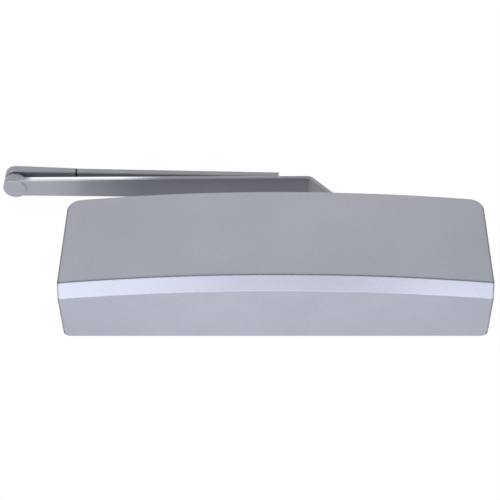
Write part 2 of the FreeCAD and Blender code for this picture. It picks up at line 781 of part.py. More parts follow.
# Pinion teeth: true involute flanks, each drawn as one arc
def make_teeth():
    count = int(round(number("tooth_count")))
    pitch_circle = number("pitch_radius")
    tip = number("tip_radius")
    root = number("root_radius")
    pressure = math.radians(number("pressure_angle"))
    base = pitch_circle * math.cos(pressure)

    def involute(angle):
        return math.tan(angle) - angle

    def half_width(radius):
        """Half the angle that a tooth fills at a radius."""
        slope = math.acos(min(1.0, base / radius))
        return math.pi / (2 * count) + involute(pressure) - involute(slope)

    def at(radius, angle):
        return FreeCAD.Vector(radius * math.cos(angle), radius * math.sin(angle), 0)

    flank_foot = max(base, root)
    flank_middle = (flank_foot + tip) / 2
    foot, middle, crest = half_width(flank_foot), half_width(flank_middle), half_width(tip)
    step = 2 * math.pi / count
    lines = []
    for i in range(count):
        # A tooth space faces the rack at rest
        centre = math.pi / 2 + step * (i + 0.5)
        points = [at(root, centre - foot), at(flank_foot, centre - foot), at(flank_middle, centre - middle),
                  at(tip, centre - crest), at(tip, centre), at(tip, centre + crest),
                  at(flank_middle, centre + middle), at(flank_foot, centre + foot),
                  at(root, centre + foot), at(root, centre + step / 2), at(root, centre + step - foot)]
        lines.append(Part.LineSegment(points[0], points[1]))
        lines.append(Part.Arc(*points[1:4]))
        lines.append(Part.Arc(*points[3:6]))
        lines.append(Part.Arc(*points[5:8]))
        lines.append(Part.LineSegment(points[7], points[8]))
        lines.append(Part.Arc(*points[8:11]))
    rim = Part.Wire([line.toShape() for line in lines])
    made = doc.addObject("Part::Feature", "pinion_teeth")
    made.Shape = Part.Face(rim).extrude(FreeCAD.Vector(0, 0, number("teeth_height")))
    place(made, "spindle_x", "-spindle_depth", "-teeth_height / 2")
    return made


# Spindle: the pinion shaft, squared at the top for the arm
def make_spindle():
    owner = body("spindle_shaft")
    made = sketch(owner, "XZ_Plane")
    bottom = "-tower_half_height + cap_thread_height + seat_gap"
    core = "root_radius - seat_gap"
    outline(made, [("0", bottom), ("spindle_radius", bottom), ("spindle_radius", "-bearing_offset"),
                   (core, "-bearing_offset"), (core, "bearing_offset"), ("spindle_radius", "bearing_offset"),
                   ("spindle_radius", "hub_bottom"), ("0", "hub_bottom")])
    turned(owner, made)
    made = sketch(owner, "XY_Plane", "hub_bottom")
    half = "spindle_square / 2"
    rectangle(made, "-" + half, "-" + half, half, half)
    block(owner, made, "hub_height - 2 * seat_gap")
    made = sketch(owner, "XY_Plane", "hub_top")
    circle(made, "0", "0", "arm_screw_radius")
    cut(owner, made, "arm_screw_length")
    place(owner, "spindle_x", "-spindle_depth", "0", "arm_turn")
    whole = doc.addObject("Part::MultiFuse", "spindle_whole")
    whole.Shapes = [owner, make_teeth()]
    piece("spindle", whole)


# Bearings, seals and caps of the spindle
def make_spindle_fittings():
    at = ("spindle_x", "-spindle_depth")
    inner, outer = "spindle_radius + running_gap", "bearing_radius - running_gap"
    race = "spindle_radius + bearing_lip"
    far = "bearing_offset + bearing_height"
    for name, low, high in (("upper_bearing", "bearing_offset", far),
                            ("lower_bearing", f"-({far})", "-bearing_offset")):
        turned_piece(name, "XZ_Plane", "V_Axis", [
            (inner, low), (outer, low), (outer, high), (inner, high), (inner, f"{high} - bearing_lip"),
            (race, f"{high} - bearing_lip"), (race, f"{low} + bearing_lip"),
            (inner, f"{low} + bearing_lip")], *at)
    seal_low = f"{far} + seat_gap"
    seal_high = f"{seal_low} + seal_height"
    turned_piece("spindle_seal", "XZ_Plane", "V_Axis", [
        (inner, f"{seal_low} + seal_height / 2"), (race, seal_low), (outer, seal_low),
        (outer, seal_high), (inner, seal_high)], *at)
    thread = "cap_thread_radius - running_gap"
    cap_low = "tower_half_height - cap_thread_height"
    pocket = f"{seal_high} + seat_gap"
    upper = turned_piece("upper_cap", "XZ_Plane", "V_Axis", [
        ("bearing_radius", cap_low), (thread, cap_low), (thread, "tower_half_height"),
        ("cap_flange_radius", "tower_half_height"), ("cap_flange_radius", "cap_top"),
        ("spindle_radius + slide_gap", "cap_top"), ("spindle_radius + slide_gap", pocket),
        ("bearing_radius", pocket)], *at)
    made = sketch(upper, "XY_Plane", "cap_top")
    rectangle(made, "cap_flange_radius - cap_notch_depth", "-cap_notch_width / 2",
              "cap_flange_radius * 2", "cap_notch_width / 2")
    notch = cut(upper, made, "cap_flange_height - running_gap")
    doc.recompute()
    ring_of_notches = upper.newObject("PartDesign::PolarPattern", "spanner_notches")
    ring_of_notches.Originals = [notch]
    ring_of_notches.Axis = (made, ["N_Axis"])
    ring_of_notches.Angle = 360
    ring_of_notches.Occurrences = 4
    upper.Tip = ring_of_notches
    lower = turned_piece("lower_cap", "XZ_Plane", "V_Axis", [
        ("0", "-cap_top"), ("cap_flange_radius", "-cap_top"), ("cap_flange_radius", "-tower_half_height"),
        (thread, "-tower_half_height"), (thread, f"-({cap_low})"), ("0", f"-({cap_low})")], *at)
    hex_socket(lower, "XY_Plane", "plug_key", "plug_key_depth", "-cap_top", back=True)


# Speed valves: needles that screw into the ends of the body
def make_valves():
    wide = "valve_radius - running_gap"
    neck = "valve_radius - running_gap - valve_seal_depth"
    groove = "-valve_thread_length"
    after = "-valve_thread_length - valve_seal_width"
    tip = "-valve_bore_length + seat_gap * 2"
    for name, end, rise in (("closing_valve", "body_right", ""), ("latching_valve", "body_right", "-"),
                            ("backcheck_valve", "body_left", "")):
        owner = body(name)
        made = sketch(owner, "XY_Plane")
        outline(made, [("-seat_gap", "0"), ("-seat_gap", wide), (groove, wide), (groove, neck),
                       (after, neck), (after, wide), (after + " - valve_seal_width", wide),
                       (tip, "gallery_radius - seat_gap"), (tip, "0")])
        turned(owner, made, "H_Axis")
        hex_socket(owner, "YZ_Plane", "valve_key", "valve_key", "-seat_gap")
        place(owner, end, "-valve_depth", rise + "valve_rise")
        seal_start = f"{end} - valve_thread_length - seat_gap"
        if end == "body_left":
            owner.Placement.Rotation = FreeCAD.Rotation(FreeCAD.Vector(0, 0, 1), 180)
            seal_start = f"{end} + valve_thread_length + valve_seal_width - seat_gap"
        piece(name, owner)
        seal_ring(name + "_seal", seal_start, "valve_seal_width", neck, "valve_radius",
                  "-valve_depth", rise + "valve_rise")


# Main arm: a flat bar that climbs from its hub and runs level to the elbow
def make_main_arm():
    owner = body("main_arm")
    made = sketch(owner, "XZ_Plane")
    hub_low = "(hub_bottom + hub_height / 2 - arm_thickness / 2)"
    hub_high = "(hub_bottom + hub_height / 2 + arm_thickness / 2)"
    under = "-arm_bend_reach + (arm_level - {0}) / tan(arm_rise_angle)"
    shift = "arm_thickness / sin(arm_rise_angle)"
    outline(made, [("-arm_length", "arm_level"), ("-arm_bend_reach", "arm_level"),
                   (under.format(hub_low), hub_low), ("0", hub_low), ("0", hub_high),
                   (under.format(hub_high) + " + " + shift, hub_high),
                   (under.format("arm_top") + " + " + shift, "arm_top"), ("-arm_length", "arm_top")])
    bar = block(owner, made, "arm_bend_width + 2 * slide_gap", middle=True)
    reach, level, top = number("arm_bend_reach"), number("arm_level"), number("arm_top")
    inner = edges(bar, lambda p, d: near(p.y, 0) and near(p.x, -reach) and near(p.z, level))
    bent = rounded(owner, bar, inner, "arm_bend_round")
    outer = edges(bent, lambda p, d: near(p.y, 0) and near(p.z, top) and p.x > -reach - 10)
    bent = rounded(owner, bent, outer, "arm_bend_round + arm_thickness")
    inner = edges(bent, lambda p, d: near(p.y, 0) and near(p.z, number(hub_high)) and -reach < p.x < -1)
    rounded(owner, bent, inner, "arm_bend_round")
    # Taper in plan, wider at the hub
    made = sketch(owner, "XY_Plane")
    outline(made, [("-arm_length", "-arm_elbow_width / 2"), ("-arm_bend_reach", "-arm_bend_width / 2"),
                   ("hub_radius", "-arm_bend_width / 2"), ("hub_radius", "arm_bend_width / 2"),
                   ("-arm_bend_reach", "arm_bend_width / 2"), ("-arm_length", "arm_elbow_width / 2")])
    rectangle(made, "-arm_length - hub_radius", "-arm_bend_width", "2 * hub_radius", "arm_bend_width")
    trimmed = cut(owner, made, "arm_length", middle=True)
    narrow = number("arm_elbow_width") / 2 - 0.1
    long_edges = edges(trimmed, lambda p, d: abs(p.y) > narrow and -number("arm_length") + 1 < p.x
                       and (d.x * d.x > 0.01) and abs(d.y) < abs(d.x))
    rounded(owner, trimmed, long_edges, "arm_edge_round")
    made = sketch(owner, "XY_Plane", "hub_bottom")
    circle(made, "0", "0", "hub_radius")
    block(owner, made, "hub_height")
    made = sketch(owner, "XY_Plane", "boss_bottom")
    circle(made, "-arm_length", "0", "boss_radius")
    block(owner, made, "boss_top - boss_bottom")
    # Square hole of the hub and the blind hole of the elbow pin
    made = sketch(owner, "XY_Plane", "hub_top")
    half = "(spindle_square / 2 + running_gap)"
    rectangle(made, "-" + half, "-" + half, half, half)
    cut(owner, made, "hub_height * 2", middle=True)
    made = sketch(owner, "XY_Plane", "boss_top")
    circle(made, "-arm_length", "0", "elbow_pin_radius")
    bored = cut(owner, made, "boss_top - boss_bottom - elbow_floor")
    rim = edges(bored, lambda p, d: near(p.z, number("boss_bottom")) and near(d.Length, 0)
                and p.x < -number("arm_length") / 2)
    rim += edges(bored, lambda p, d: near(d.Length, 0) and abs(p.z - number("hub_bottom")) < 0.01)
    rounded(owner, bored, rim, "boss_edge_round")
    place(owner, "spindle_x", "-spindle_depth", "0", "arm_turn")
    piece("main_arm", owner)


# Screw and washer that hold the arm on the spindle
def make_arm_fastener():
    at = ("spindle_x", "-spindle_depth")
    seat = "hub_top + arm_washer_thickness"
    turned_piece("arm_washer", "XZ_Plane", "V_Axis", [
        ("arm_screw_radius + seat_gap", "hub_top"), ("arm_washer_radius", "hub_top"),
        ("arm_washer_radius", seat), ("arm_screw_radius + seat_gap", seat)], *at)
    head_top = f"{seat} + arm_screw_head_height"
    shank = "arm_screw_radius - running_gap"
    screw = turned_piece("arm_screw", "XZ_Plane", "V_Axis", [
        ("0", "hub_top - arm_screw_length + slot_play"), (shank, "hub_top - arm_screw_length + slot_play"),
        (shank, seat), ("arm_screw_head", seat), ("arm_screw_head", head_top), ("0", head_top)], *at)
    hex_socket(screw, "XY_Plane", "arm_screw_head", "arm_screw_head_height / 2", head_top)


# Elbow: a headed pin in the main arm, with a washer below the link and a bush in it
def make_elbow():
    at = ("elbow_x", "elbow_y")
    shank = "elbow_pin_radius"
    pin_end = "boss_bottom + elbow_floor"
    head_low = "link_top + running_gap"
    head_high = f"{head_low} + elbow_pin_head_height"
    turned_piece("elbow_pin", "XZ_Plane", "V_Axis", [
        ("0", pin_end), (shank, pin_end), (shank, head_low),
        ("elbow_pin_head", head_low), ("elbow_pin_head", f"{head_low} + elbow_pin_head_height / 2"),
        ("elbow_pin_head - elbow_pin_head_height / 2", head_high), ("0", head_high)], *at)
    hole = "elbow_pin_radius + running_gap"
    washer_top = "link_bottom - running_gap"
    turned_piece("elbow_washer", "XZ_Plane", "V_Axis", [
        (hole, "boss_top"), ("elbow_washer_radius", "boss_top"),
        ("elbow_washer_radius", washer_top), (hole, washer_top)], *at)
    bush = "elbow_pin_radius + elbow_bush_wall"
    turned_piece("elbow_bush", "XZ_Plane", "V_Axis", [
        (hole, "link_bottom"), (bush, "link_bottom"), (bush, "link_top"), (hole, "link_top")], *at)


# Forearm link: a strap that tapers from the knuckle and ends in a flat tang
def make_forearm_link():
    owner = body("forearm_link")
    lean = "((knuckle_radius - link_end_width / 2) / link_reach)"
    touch_x, touch_y = f"knuckle_radius * {lean}", f"knuckle_radius * sqrt(1 - {lean} ^ 2)"
    made = sketch(owner, "XZ_Plane")
    outline(made, [("-knuckle_radius", "link_bottom + link_pad_height"), ("link_reach", "tube_bottom"),
                   ("link_reach", "link_top"), ("-knuckle_radius", "link_top")])
    block(owner, made, "knuckle_radius * 2 + 2 * slide_gap", middle=True)
    made = sketch(owner, "XY_Plane")
    outline(made, [(touch_x, "-" + touch_y), ("link_reach", "-link_end_width / 2"),
                   ("link_reach", "link_end_width / 2"), (touch_x, touch_y), ("-knuckle_radius", "0")],
            {3: ("knuckle_radius", 1), 4: ("knuckle_radius", 1)})
    rectangle(made, "-knuckle_radius * 2", "-knuckle_radius * 2", "link_reach * 2", "knuckle_radius * 2")
    strap = cut(owner, made, "arm_length", middle=True)
    rim = edges(strap, lambda p, d: p.x < number("link_reach") - 0.01 and abs(p.y) > 0.5
                and d.x * d.x > 0.01)
    rounded(owner, strap, rim, "forearm_edge_round")
    # Flat pad under the knuckle, where the washer bears
    made = sketch(owner, "XY_Plane", "link_bottom")
    circle(made, "0", "0", "elbow_washer_radius")
    block(owner, made, "link_thickness / 2")
    # Neck that the tube stops against, then the tang
    made = sketch(owner, "YZ_Plane", "link_reach - link_thickness")
    neck = "(forearm_width / 2 - neck_inset)"
    rectangle(made, "-" + neck, "tube_bottom + neck_inset", neck, "link_top - neck_inset")
    block(owner, made, "link_thickness + forearm_gap - slide_gap")
    made = sketch(owner, "XY_Plane", "tang_bottom")
    rectangle(made, "link_reach - link_thickness", "-tang_width / 2",
              "tube_start + tang_length", "tang_width / 2")
    block(owner, made, "tang_thickness")
    made = sketch(owner, "XY_Plane", "link_top")
    circle(made, "0", "0", "elbow_pin_radius + elbow_bush_wall")
    circle(made, "clamp_x", "0", "clamp_screw_radius")
    cut(owner, made, "link_thickness * 3", middle=True)
    place(owner, "elbow_x", "elbow_y", "0", "forearm_turn")
    piece("forearm_link", owner)


def stadium(made, left, right, radius):
    """A slot with round ends along the sketch's X."""
    outline(made, [(left, f"-({radius})"), (right, f"-({radius})"), (f"{right} + {radius}", "0"),
                   (right, radius), (left, radius), (f"{left} - ({radius})", "0")],
            {1: (radius, 1), 2: (radius, 1), 4: (radius, 1), 5: (radius, 1)})


# Forearm tube: slides over the tang and is slotted above for the clamp screw
def make_forearm_tube():
    owner = body("forearm_tube")
    made = sketch(owner, "YZ_Plane", "tube_start")
    half = "forearm_width / 2"
    rectangle(made, "-" + half, "tube_bottom", half, "link_top")
    bar = block(owner, made, "forearm_length")
    long_edges = edges(bar, lambda p, d: near(abs(d.x), number("forearm_length")))
    rounded(owner, bar, long_edges, "forearm_edge_round")
    made = sketch(owner, "YZ_Plane", "tube_start")
    hollow = "(forearm_width / 2 - forearm_wall)"
    rectangle(made, "-" + hollow, "tube_bottom + forearm_wall", hollow, "link_top - forearm_wall")
    cut(owner, made, "forearm_length", back=True)
    made = sketch(owner, "XY_Plane", "link_top")
    radius = "(clamp_screw_radius + slide_gap)"
    stadium(made, "clamp_x - forearm_adjustment", "clamp_x + slide_gap", radius)
    cut(owner, made, "forearm_wall * 2")
    made = sketch(owner, "XY_Plane", "link_top")
    circle(made, "tube_end - pivot_inset", "0", "pivot_radius + pivot_bush_wall")
    cut(owner, made, "forearm_thickness * 2")
    place(owner, "elbow_x", "elbow_y", "0", "forearm_turn")
    piece("forearm_tube", owner)

    owner = body("forearm_end_block")
    made = sketch(owner, "YZ_Plane", "tube_end - end_block_length")
    half = "(forearm_width / 2 - forearm_wall - running_gap / 2)"
    rectangle(made, "-" + half, "tube_bottom + forearm_wall", half, "link_top - forearm_wall")
    block(owner, made, "end_block_length")
    made = sketch(owner, "XY_Plane", "link_top")
    circle(made, "tube_end - pivot_inset", "0", "pivot_radius + pivot_bush_wall")
    cut(owner, made, "forearm_thickness * 2")
    place(owner, "elbow_x", "elbow_y", "0", "forearm_turn")
    piece("forearm_end_block", owner)

    owner = body("pivot_bush")
    made = sketch(owner, "XY_Plane", "tube_bottom")
    circle(made, "tube_end - pivot_inset", "0", "pivot_radius")
    circle(made, "tube_end - pivot_inset", "0", "pivot_radius + pivot_bush_wall")
    block(owner, made, "forearm_thickness")
    place(owner, "elbow_x", "elbow_y", "0", "forearm_turn")
    piece("pivot_bush", owner)


# Clamp screw and washer that lock the forearm's length
def make_clamp():
    at = ("elbow_x + clamp_x * cos(forearm_turn)", "elbow_y + clamp_x * sin(forearm_turn)")
    hole = "clamp_screw_radius + running_gap"
    seat = "link_top + running_gap"
    under_head = f"{seat} + clamp_washer_thickness"
    head_top = f"{under_head} + clamp_screw_head_height"
    for name, points in (
            ("clamp_screw", [("0", "tang_bottom"), ("clamp_screw_radius", "tang_bottom"),
                             ("clamp_screw_radius", under_head), ("clamp_screw_head", under_head),
                             ("clamp_screw_head", head_top), ("0", head_top)]),
            ("clamp_washer", [(hole, seat), ("clamp_washer_radius", seat),
                              ("clamp_washer_radius", under_head), (hole, under_head)])):
        made = turned_piece(name, "XZ_Plane", "V_Axis", points, *at)
        if name == "clamp_screw":
            hex_socket(made, "XY_Plane", "clamp_screw_radius", "clamp_screw_head_height / 2", head_top)


makers = [make_cover, make_cover_screws, make_closer_body, make_plugs, make_plug_seals, make_adjuster,
          make_spring, make_piston, make_spindle, make_spindle_fittings, make_valves, make_main_arm,
          make_arm_fastener, make_elbow, make_forearm_link, make_forearm_tube, make_clamp]
for make in makers:
    make()
doc.recompute()

faults = []
for thing in doc.Objects:
    if "Invalid" in thing.State or "Error" in thing.State:
        faults.append(f"{thing.Name} ({thing.Label}): {thing.State}")
for name, thing in pieces.items():
    if thing.Shape.isNull() or not thing.Shape.isValid():
        faults.append(f"{name}: shape is null or not valid")
if faults:
    raise SystemExit("\n".join(faults))

for name, thing in pieces.items():
    shape = thing.Shape
    shape.exportStep(f"parts/{name}.step")
    box = shape.BoundBox
    spans = [f"{low:.1f} to {high:.1f}" for low, high in (
        (box.XMin, box.XMax), (box.YMin, box.YMax), (box.ZMin, box.ZMax))]
    print(f"{name}: {len(shape.Solids)} solid, {shape.Volume / 1000:.2f} cm3, {', '.join(spans)}")
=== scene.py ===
import json
import math

import bmesh
import bpy
from mathutils import Matrix, Vector


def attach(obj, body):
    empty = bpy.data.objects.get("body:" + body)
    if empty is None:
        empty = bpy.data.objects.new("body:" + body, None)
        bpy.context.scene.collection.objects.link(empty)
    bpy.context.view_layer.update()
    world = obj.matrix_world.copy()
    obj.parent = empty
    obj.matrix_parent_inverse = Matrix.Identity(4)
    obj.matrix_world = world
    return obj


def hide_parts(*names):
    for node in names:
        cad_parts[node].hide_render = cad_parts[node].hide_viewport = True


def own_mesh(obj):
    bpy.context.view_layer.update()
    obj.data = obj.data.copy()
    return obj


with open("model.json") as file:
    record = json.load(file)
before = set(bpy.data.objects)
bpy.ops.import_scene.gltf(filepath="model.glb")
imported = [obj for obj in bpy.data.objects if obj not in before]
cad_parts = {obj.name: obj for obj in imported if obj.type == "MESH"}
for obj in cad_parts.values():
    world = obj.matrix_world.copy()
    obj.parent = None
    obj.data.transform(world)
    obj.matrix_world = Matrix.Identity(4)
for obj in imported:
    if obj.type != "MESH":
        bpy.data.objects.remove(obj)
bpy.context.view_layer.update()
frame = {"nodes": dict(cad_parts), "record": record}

nodes = frame["nodes"]
mm = 0.001
print("frame loaded:", len(nodes), "nodes")


def direction(azimuth, elevation):  # azimuth 0 is in front of the door, both in degrees
    a, e = math.radians(azimuth), math.radians(elevation)
    return Vector((math.sin(a) * math.cos(e), -math.cos(a) * math.cos(e), math.sin(e)))


# Helpers for materials

def fromHex(code):  # sRGB hex to the linear colour that Blender works in
    parts = [int(code[i:i + 2], 16) / 255 for i in (1, 3, 5)]
    return [c / 12.92 if c <= 0.04045 else ((c + 0.055) / 1.055) ** 2.4 for c in parts] + [1.0]


def perMm(size):  # texture scale that gives features of this many millimetres
    return 1000 / size


def addNode(tree, kind, inputs=None, **settings):  # an input is a value, or the output that feeds it
    node = tree.nodes.new("ShaderNode" + kind)
    for name, value in settings.items():
        setattr(node, name, value)
    for name, value in (inputs or {}).items():
        if isinstance(value, bpy.types.NodeSocket):
            tree.links.new(value, node.inputs[name])
        else:
            node.inputs[name].default_value = value
    return node


def startFinish(name):  # an empty material, its node tree, and the place on the piece
    material = bpy.data.materials.new(name)
    material.use_nodes = True
    tree = material.node_tree
    tree.nodes.clear()
    return material, tree, addNode(tree, "TexCoord").outputs["Object"]


def closeFinish(tree, surface):  # surface holds what goes into the shader's sockets
    shader = addNode(tree, "BsdfPrincipled", surface)
    addNode(tree, "OutputMaterial", {"Surface": shader.outputs[0]})


noiseMiddle = (0.3, 0.7)  # noise keeps near its middle, so that part is stretched over the whole span


def patches(tree, where, size, span, detail=2.0):  # soft patches of this many mm, from low to high of span
    noise = addNode(tree, "TexNoise", {"Vector": where, "Scale": perMm(size), "Detail": detail}).outputs[0]
    return addNode(tree, "MapRange", {"Value": noise, "From Min": noiseMiddle[0], "From Max": noiseMiddle[1],
                                      "To Min": span[0], "To Max": span[1]}).outputs[0]


def grain(tree, where, size, depth, detail=2.0, roughness=0.5):  # a bumpy skin, size and depth in millimetres
    noise = addNode(tree, "TexNoise", {"Vector": where, "Scale": perMm(size), "Detail": detail,
                                       "Roughness": roughness}).outputs[0]
    return addNode(tree, "Bump", {"Height": noise, "Distance": depth * mm, "Strength": 1.0}).outputs[0]


def twoTone(tree, share, look):  # the finish's colour, going to its light tone where share is 1
    return addNode(tree, "Mix", {0: share, 6: fromHex(look["colour"]), 7: fromHex(look["light"])},
                   data_type="RGBA").outputs[2]


def within(tree, ramps):  # the product of ramps that each go from 0 to 1 between two values
    product = None
    for value, start, end in ramps:
        share = addNode(tree, "MapRange", {"Value": value, "From Min": start, "From Max": end}).outputs[0]
        if product is not None:
            share = addNode(tree, "Math", {0: product, 1: share}, operation="MULTIPLY").outputs[0]
        product = share
    return product


# 1 along sharp edges and 0 on flat faces, by how far the rounded normal turns from the flat one
def edgeShare(tree, radius, flatFrom=0.99, sharpAt=0.86):
    flat = addNode(tree, "NewGeometry").outputs["Normal"]
    rounded = addNode(tree, "Bevel", {"Radius": radius * mm}, samples=4).outputs[0]
    dot = addNode(tree, "VectorMath", {0: flat, 1: rounded}, operation="DOT_PRODUCT").outputs["Value"]
    return within(tree, ((dot, flatFrom, sharpAt),))


def overlaid(material, shareOf, values):  # the same material with values laid over it where shareOf is 1
    tree = material.node_tree
    shader = next(node for node in tree.nodes if node.type == "BSDF_PRINCIPLED")
    share = shareOf(tree, addNode(tree, "TexCoord").outputs["Object"])
    for name, value in values.items():
        socket = shader.inputs[name]
        before = socket.links[0].from_socket if socket.links else socket.default_value
        kind, first, second, result = ("RGBA", 6, 7, 2) if name == "Base Color" else ("FLOAT", 2, 3, 0)
        mixed = addNode(tree, "Mix", {0: share, first: before, second: value}, data_type=kind).outputs[result]
        tree.links.new(mixed, socket)
    return material


# Coats of paint. Sizes and depths are in millimetres, wear and roughness go from low to high.
# A real flake is under 0.05 mm and is drawn far coarser, so that it shows as a fine sparkle.

silverCoat = {"roughness": (0.315, 0.35), "sheenPatch": 25, "cloudDetail": 3, "glint": 0.35, "edgeRadius": 0.8,
              "wearPatch": 6, "wear": (0.25, 0.8), "peelDepth": 0.012, "peelDetail": 1, "peelRoughness": 0.5}
# The cover's edge tone is darker than its paint: wear, and painted shade along its edges
coverPaint = {**silverCoat, "colour": "#a9acb5", "light": "#b1b4bd", "edge": "#84878d", "metallic": 0.45,
              "flake": 0.9, "peel": 3.5, "cloud": 90}
# The arm's edge tone is lighter than its paint: wear, and a painted highlight along its edges
armPaint = {**silverCoat, "colour": "#a4a7ae", "light": "#adb0b8", "edge": "#c9cbd4", "metallic": 0.25,
            "flake": 0.8, "peel": 2.2, "cloud": 60}
castPaint = {"colour": "#73767a", "light": "#85888c", "edge": "#9b9da0", "metallic": 0.15, "cloud": 35,
             "roughness": (0.52, 0.7), "sheenPatch": 8, "cloudDetail": 4, "edgeRadius": 1.0, "wearPatch": 5,
             "wear": (0.1, 0.9), "peel": 1.3, "peelDepth": 0.12, "peelDetail": 3, "peelRoughness": 0.6}


def coatOf(name, look):  # clouds and flakes between two tones, an edge tone of wear, which on the cover also paints shade and on the arm a highlight, over a pebbled skin
    material, tree, where = startFinish(name)
    share = patches(tree, where, look["cloud"], (0.0, 1.0), look["cloudDetail"])
    if "flake" in look:
        flake = addNode(tree, "TexVoronoi", {"Vector": where, "Scale": perMm(look["flake"])}).outputs["Color"]
        shade = addNode(tree, "SeparateColor", {0: flake}).outputs[0]
        glint = addNode(tree, "MapRange", {"Value": shade, "To Min": -look["glint"],
                                           "To Max": look["glint"]}).outputs[0]
        share = addNode(tree, "Math", {0: share, 1: glint}, operation="ADD", use_clamp=True).outputs[0]
    edgeWearAndLight = addNode(tree, "Math", {0: edgeShare(tree, look["edgeRadius"]),
                                  1: patches(tree, where, look["wearPatch"], look["wear"])},
                   operation="MULTIPLY").outputs[0]
    painted = addNode(tree, "Mix", {0: edgeWearAndLight, 6: twoTone(tree, share, look), 7: fromHex(look["edge"])},
                      data_type="RGBA").outputs[2]
    closeFinish(tree, {"Base Color": painted, "Metallic": look["metallic"],
                       "Roughness": patches(tree, where, look["sheenPatch"], look["roughness"]),
                       "Normal": grain(tree, where, look["peel"], look["peelDepth"], look["peelDetail"],
                                       look["peelRoughness"])})
    return material


# Where painted shade darkens the lacquer, in mm: reach is how far it goes from an edge, low and high are the
# heights at which it begins above the bevel and fades under the top, and ends are distances from the middle
# along x.
creaseShade = {"colour": "#464644", "metallic": 0.2, "reach": 2.7, "flatFrom": 0.995, "sharpAt": 0.95,
          "low": (-40.65, -40.15), "high": (44, 36), "ends": (163, 164.2)}


# Painted shade: the lacquer's dark line along the edge above the bevel and down the cover's ends
def creaseShadeShare(tree, where):  # 1 on the edge above the bevel and along the cover's ends
    split = addNode(tree, "SeparateXYZ", {0: where})
    across = addNode(tree, "Math", {0: split.outputs["X"]}, operation="ABSOLUTE").outputs[0]
    height = split.outputs["Z"]
    low, high, ends = ([place * mm for place in creaseShade[name]] for name in ("low", "high", "ends"))
    shown = addNode(tree, "Math", {0: within(tree, ((height, *low), (height, *high))),
                                   1: within(tree, ((across, *ends),))}, operation="MAXIMUM").outputs[0]
    edge = edgeShare(tree, creaseShade["reach"], creaseShade["flatFrom"], creaseShade["sharpAt"])
    return addNode(tree, "Math", {0: edge, 1: shown}, operation="MULTIPLY").outputs[0]


# Two-pack silver lacquer on moulded ABS: a satin, faintly blue grey with a soft sheen and a fine flake,
# with painted shade as a dark line along the edge above the bevel and down the ends
coverLacquer = overlaid(coatOf("SatinSilverLacquerOnAbs", coverPaint), creaseShadeShare,
                        {"Base Color": fromHex(creaseShade["colour"]), "Metallic": creaseShade["metallic"]})
# Silver powder coat on pressed steel: a little duller and more pebbled than the lacquer
armPowder = coatOf("SilverPowderCoatOnSteel", armPaint)

# The painted highlight grows and ends between these places along x, in mm, and sides goes by how upright a
# face is
armHighlight = {"colour": "#eaecf8", "metallic": 0.9, "begin": (-206, -200), "end": (-92, -128),
          "sides": (0.95, 0.5)}


# Painted highlight: bright steel-like colour on the arm's upright sides towards the elbow
def armHighlightShare(tree, where):  # 1 on the upright sides between two places along x
    x = addNode(tree, "SeparateXYZ", {0: where}).outputs["X"]
    tilt = addNode(tree, "SeparateXYZ", {0: addNode(tree, "NewGeometry").outputs["Normal"]}).outputs["Z"]
    level = addNode(tree, "Math", {0: tilt}, operation="ABSOLUTE").outputs[0]
    begin, end = ([place * mm for place in armHighlight[name]] for name in ("begin", "end"))
    return within(tree, ((level, *armHighlight["sides"]), (x, *begin), (x, *end)))


# The arm in the same coat, with a painted highlight in bright steel-like colour along its sides towards the
# elbow
armPowderWithHighlight = overlaid(coatOf("PowderCoatWithPaintedHighlight", armPaint), armHighlightShare,
                     {"Base Color": fromHex(armHighlight["colour"]), "Metallic": armHighlight["metallic"]})

# Painted shade on the link's neck and tang. Start in mm along the forearm, which is turned this many degrees
# from x
tangShade = {"colour": "#17181a", "metallic": 0.3, "roughness": 0.5, "start": -167.3, "turn": 1.75}


# Painted shade: near black on the neck and tang, where the gap at the tube's end lies in shade
def tangShadeShare(tree, where):  # 1 on the neck and tang of the forearm link
    along = addNode(tree, "VectorMath", {0: where, 1: direction(90 + tangShade["turn"], 0)},
                    operation="DOT_PRODUCT").outputs["Value"]
    return addNode(tree, "Math", {0: along, 1: tangShade["start"] * mm}, operation="GREATER_THAN").outputs[0]


# The link in the same coat, with its neck and tang near black as painted shade in the gap at the tube's end
linkPowderWithShade = overlaid(coatOf("PowderCoatWithPaintedShadeOnTang", armPaint), tangShadeShare,
                      {"Base Color": fromHex(tangShade["colour"]), "Metallic": tangShade["metallic"],
                       "Roughness": tangShade["roughness"]})
# Grey primer on a sand casting: dull, with the sand's grain and rubbed edges
castGrey = coatOf("GreyPrimedCastIron", castPaint)


# Bare metals. The lathe's feed is under 0.2 mm in real life and drawn coarser, so that its rings show.

barrel = {"axis": 0, "centre": (0, -30, 0)}  # axis 0 is x and 2 is z, centre in mm
spindle = {"axis": 2, "centre": (65, -30, 0)}
turnedSteel = {"colour": "#a8a9aa", "light": "#b9babb", "roughness": (0.25, 0.41), "feed": 0.35, "depth": 0.01}
zincPlate = {"colour": "#bcbec1", "light": "#cccdcf", "roughness": (0.21, 0.37), "feed": 0.6, "depth": 0.008}
bronzeBush = {"colour": "#8f6a3f", "light": "#a57f50", "roughness": (0.38, 0.54), "feed": 0.5, "depth": 0.015}
springWire = {"colour": "#3a3836", "light": "#4c4743", "roughness": (0.35, 0.51), "feed": 0.5, "depth": 0.006}
rings = {"detail": 3.0, "roughness": 0.6, "cloud": 14, "cloudDetail": 3.0}  # the same for all four metals


